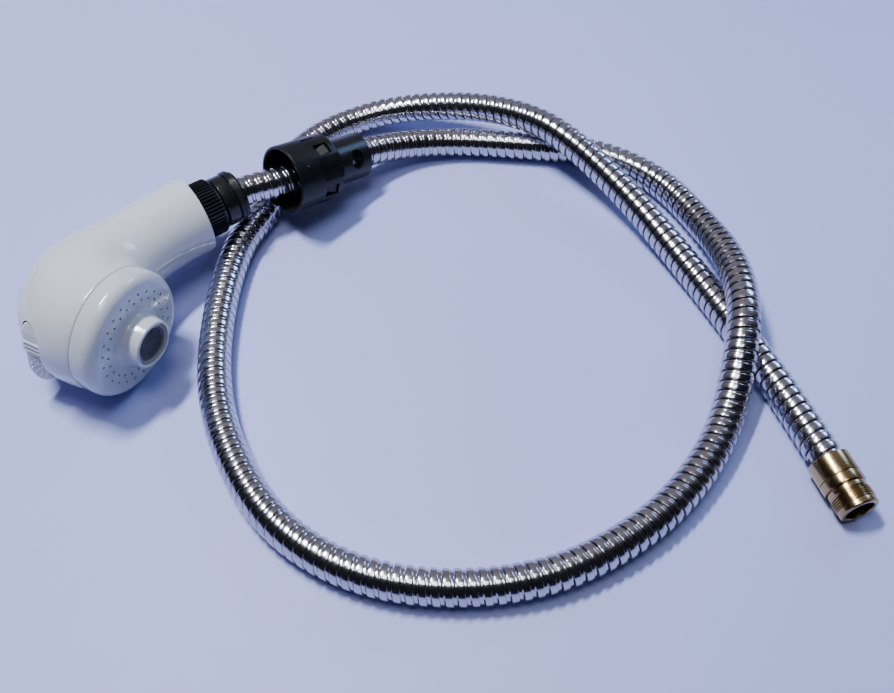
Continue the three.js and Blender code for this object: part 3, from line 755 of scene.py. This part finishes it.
# ---- brass end -------------------------------------------------------------------
piece("brass_ferrule_fine", turned([
    (0, 8.25), (0, 9.1), (0.3, 9.4), (9.5, 9.4), (9.6, 9.25), (9.6, 8.1),
    (7.2, 8.1), (7.2, 6.4), (6.2, 6.4), (6.2, 8.25)], 128, 0.2), BRASS, BRASS_BODY,
    HEAD_BODY, "brass_turned", "brass_ferrule")


def thread_shape(x0, x1, r, pitch, depth, sides=120, steps=16):
    """A right-hand external thread that fades out at both ends, as an open skin."""
    rings = []
    count = int((x1 - x0) / pitch * steps)
    for i in range(count + 1):
        x = x0 + (x1 - x0) * i / count
        row = []
        for j in range(sides):
            a = 2 * math.pi * j / sides
            f = ((x - x0) / pitch - j / sides) % 1
            ridge = max(0.0, min(1.0, 1.45 - abs(f - 0.5) * 4.2))
            fade = min(1.0, (x - x0) / 0.8, (x1 - x) / 0.5)
            rr = r - depth * (1 - ridge * max(fade, 0))
            row.append((x, rr * math.cos(a), rr * math.sin(a)))
        rings.append(row)
    return skin(rings)


nipple = turned([
    (7.5, 6.4), (7.5, 7.8), (8, 7.8), (8, 7.1), (9.4, 7.1), (9.4, 7.8), (9.9, 7.8),
    (9.9, 9.4), (14.2, 9.4), (14.2, 7.9), (14.7, 7.9), (14.8, 8.6), (16.9, 8.6),
    (17.5, 8.1), (22.4, 8.1), (22.6, 8.7), (25, 8.7), (25.5, 8.1), (25.5, 6.7),
    (25.2, 6.4)], 120, 0.16)
nipple.add(thread_shape(17.2, 22.7, 9.05, 1.0, 0.9))
piece("brass_nipple_fine", nipple, BRASS, BRASS_TIP, "nipple", "brass_turned",
      "brass_nipple", sharp=30)

# ---- the CAD pieces that stay as they are -----------------------------------------
KEPT = {
    "cap_seal": RUBBER, "spray_core": GREY, "flow_insert": WHITE,
    "aerator_washer": RUBBER, "valve_body": GREY, "stream_tube": GREY,
    "spray_tube": GREY, "valve_plug_top": GREY, "valve_plug_bottom": GREY,
    "diverter_spool": WHITE, "spool_seal_top": RUBBER, "spool_seal_bottom": RUBBER,
    "rocker_pin": STEEL, "core_screw_a": STEEL, "core_screw_b": STEEL,
    "core_screw_c": STEEL, "inlet_pipe": WHITE, "inlet_strainer": STEEL,
    "inlet_washer": RUBBER, "swivel_seal": RUBBER,
}
for name, material in KEPT.items():
    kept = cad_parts[name]
    kept.data.materials.clear()
    kept.data.materials.append(material)


# ---- floor and light -------------------------------------------------------------
def plain_floor():
    data = bpy.data.meshes.new("floor")
    data.from_pydata([(-6, -6, 0), (6, -6, 0), (6, 6, 0), (-6, 6, 0)], [],
                     [(0, 1, 2, 3)])
    floor = bpy.data.objects.new("floor", data)
    bpy.context.scene.collection.objects.link(floor)
    mat = surface("floor_board", (0.43, 0.47, 0.88), 0.5, vary=0.01, rough_vary=0.03,
                  bump=0.02, scale=60, specular=0.35)
    floor.data.materials.append(mat)


def soft_light(name, at, size, power, color, aim=(0.1, -0.08, 0.0)):
    light = bpy.data.lights.new(name, "AREA")
    light.shape = "RECTANGLE"
    light.size, light.size_y = size
    light.energy = power
    light.color = color
    obj = bpy.data.objects.new(name, light)
    bpy.context.scene.collection.objects.link(obj)
    obj.location = at
    obj.rotation_euler = (Vector(aim) - Vector(at)).to_track_quat("-Z", "Y").to_euler()
    return obj


# Name, place, size, watts and colour: the key is behind the head, the lamp overhead,
# and the blue side light to the right.
LIGHTS = [
    ("key", (-0.06, 0.34, 1.20), (0.36, 0.09), 22, (0.91, 0.94, 1.0)),
    ("lamp", (-0.04, -0.18, 1.30), (0.56, 0.42), 5.2, (0.87, 0.90, 1.0)),
    ("side", (1.5, 0.10, 0.8), (0.6, 0.4), 7, (0.32, 0.56, 1.0)),
]

plain_floor()
for light in LIGHTS:
    soft_light(*light)

# The room is dark on the camera's side and lavender grey on the far side.
ROOM_FAR = (0.50, 0.62, 0.25)
ROOM_DARK = (0.012, 0.012, 0.018, 1)
ROOM_BRIGHT = (0.27, 0.25, 0.30, 1)

world = bpy.data.worlds.new("room")
bpy.context.scene.world = world
world.use_nodes = True
w = world.node_tree
w.nodes.clear()
w_out = node(w, "ShaderNodeOutputWorld")
w_back = node(w, "ShaderNodeBackground")
w_ramp = node(w, "ShaderNodeValToRGB")
w_far = node(w, "ShaderNodeVectorMath", operation="DOT_PRODUCT")
w_where = node(w, "ShaderNodeTexCoord")
w_far.inputs[1].default_value = ROOM_FAR
w.links.new(w_where.outputs["Generated"], w_far.inputs[0])
w.links.new(w_far.outputs["Value"], w_ramp.inputs[0])
w.links.new(w_ramp.outputs[0], w_back.inputs[0])
w.links.new(w_back.outputs[0], w_out.inputs[0])
w_ramp.color_ramp.elements[0].color = ROOM_DARK
w_ramp.color_ramp.elements[0].position = 0.22
w_ramp.color_ramp.elements[1].color = ROOM_BRIGHT
w_ramp.color_ramp.elements[1].position = 0.6
w_back.inputs[1].default_value = 0.9
